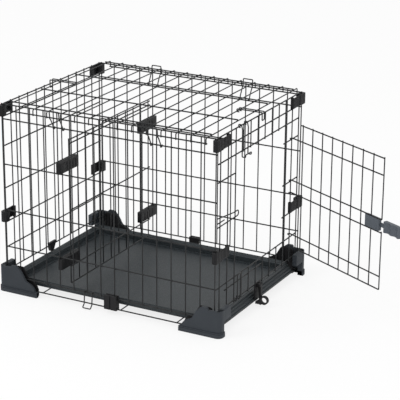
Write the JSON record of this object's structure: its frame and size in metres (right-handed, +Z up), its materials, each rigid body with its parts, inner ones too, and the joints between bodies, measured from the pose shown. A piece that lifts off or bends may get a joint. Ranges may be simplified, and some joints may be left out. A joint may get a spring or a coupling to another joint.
{
  "type": "dog cage",
  "caption": "Folding wire dog cage with a hinged roof, an end door with slide latch, a divider, corner feet and a pull-out floor tray.",
  "frame": {"origin": "middle of the cage in plan, on the floor plane that the feet stand on", "axes": "+X along the long walls towards the end with the door, +Y towards the back long wall, +Z up"},
  "size_m": [0.9781, 0.497, 0.496],
  "materials": {
    "wire_coated": "satin powder coat",
    "hook_wire": "satin powder coat",
    "clip_plastic": "fine matt",
    "foot_plastic": "fine matt",
    "tray_plastic": "satin",
    "latch_grey": "satin"
  },
  "bodies": {
    "frame": {"front_panel": "wire_coated", "back_panel": "wire_coated", "left_panel": "wire_coated", "right_panel": "wire_coated", "floor_frame": "wire_coated", "divider_panel": "wire_coated", "divider_clip_front_low": "clip_plastic", "divider_clip_front_high": "clip_plastic", "divider_clip_back_low": "clip_plastic", "divider_clip_back_high": "clip_plastic", "corner_clip_front_left_high": "clip_plastic", "corner_clip_front_left_low": "clip_plastic", "corner_clip_back_left_high": "clip_plastic", "corner_clip_back_left_low": "clip_plastic", "corner_clip_front_right_high": "clip_plastic", "corner_clip_front_right_low": "clip_plastic", "corner_clip_back_right_high": "clip_plastic", "corner_clip_back_right_low": "clip_plastic", "floor_clip_front": "clip_plastic", "floor_clip_back": "clip_plastic", "floor_clip_left": "clip_plastic", "foot_front_left": "foot_plastic", "foot_front_right": "foot_plastic", "foot_back_left": "foot_plastic", "foot_back_right": "foot_plastic"},
    "roof": {"roof_panel": "wire_coated"},
    "door": {"door_panel": "wire_coated", "door_latch_base": "latch_grey"},
    "door_latch": {"door_latch_grip": "latch_grey"},
    "tray": {"tray": "tray_plastic", "tray_latch_plate": "clip_plastic"},
    "tray_latch": {"tray_latch_lever": "clip_plastic"},
    "roof_hook_front_left_body": {"roof_hook_front_left": "hook_wire"},
    "roof_hook_front_right_body": {"roof_hook_front_right": "hook_wire"},
    "roof_hook_back_left_body": {"roof_hook_back_left": "hook_wire"},
    "roof_hook_back_right_body": {"roof_hook_back_right": "hook_wire"},
    "side_hook_left_body": {"side_hook_left": "hook_wire"},
    "side_hook_right_body": {"side_hook_right": "hook_wire"},
    "header_hook_body": {"header_hook": "hook_wire"},
    "sill_hook_body": {"sill_hook": "hook_wire"},
    "floor_hook_body": {"floor_hook": "hook_wire"}
  },
  "joints": [
    {"name": "roof_hinge", "type": "hinge", "parent": "frame", "child": "roof", "pos_m": [0, 0.241, 0.4765], "axis": [-1, 0, 0], "range_deg": [0, 100]},
    {"name": "door_hinge", "type": "hinge", "parent": "frame", "child": "door", "pos_m": [0.2945, 0.17325, 0.25], "axis": [0, 0, 1], "range_deg": [-59.5, 87.5]},
    {"name": "door_latch_slide", "type": "slide", "parent": "door", "child": "door_latch", "axis": [-0.887, 0.4617, 0], "range_m": [0, 0.014]},
    {"name": "tray_slide", "type": "slide", "parent": "frame", "child": "tray", "axis": [1, 0, 0], "range_m": [0, 0.58]},
    {"name": "tray_latch_swing", "type": "hinge", "parent": "tray", "child": "tray_latch", "pos_m": [0.305, -0.014, 0.057], "axis": [0, -1, 0], "range_deg": [0, 60]},
    {"name": "roof_hook_front_left_swing", "type": "hinge", "parent": "frame", "child": "roof_hook_front_left_body", "pos_m": [-0.134, -0.227, 0.449], "axis": [1, 0, 0], "range_deg": [0, 100]},
    {"name": "roof_hook_back_left_swing", "type": "hinge", "parent": "frame", "child": "roof_hook_back_left_body", "pos_m": [-0.134, 0.227, 0.449], "axis": [-1, 0, 0], "range_deg": [0, 100]},
    {"name": "roof_hook_front_right_swing", "type": "hinge", "parent": "frame", "child": "roof_hook_front_right_body", "pos_m": [0.134, -0.227, 0.449], "axis": [1, 0, 0], "range_deg": [0, 100]},
    {"name": "roof_hook_back_right_swing", "type": "hinge", "parent": "frame", "child": "roof_hook_back_right_body", "pos_m": [0.134, 0.227, 0.449], "axis": [-1, 0, 0], "range_deg": [0, 100]},
    {"name": "side_hook_left_swing", "type": "hinge", "parent": "roof", "child": "side_hook_left_body", "pos_m": [-0.234, 0, 0.49025], "axis": [0, 1, 0], "range_deg": [0, 120]},
    {"name": "side_hook_right_swing", "type": "hinge", "parent": "roof", "child": "side_hook_right_body", "pos_m": [0.234, 0, 0.49025], "axis": [0, -1, 0], "range_deg": [0, 120]},
    {"name": "header_hook_swing", "type": "hinge", "parent": "frame", "child": "header_hook_body", "pos_m": [0.29125, -0.09425, 0.4867], "axis": [0, -1, 0], "range_deg": [0, 90]},
    {"name": "sill_hook_swing", "type": "hinge", "parent": "frame", "child": "sill_hook_body", "pos_m": [0.29125, -0.1145, 0.055], "axis": [0, 1, 0], "range_deg": [0, 90]},
    {"name": "floor_hook_swing", "type": "hinge", "parent": "frame", "child": "floor_hook_body", "pos_m": [-0.056, -0.227, 0.039], "axis": [-1, 0, 0], "range_deg": [0, 80]}
  ]
}
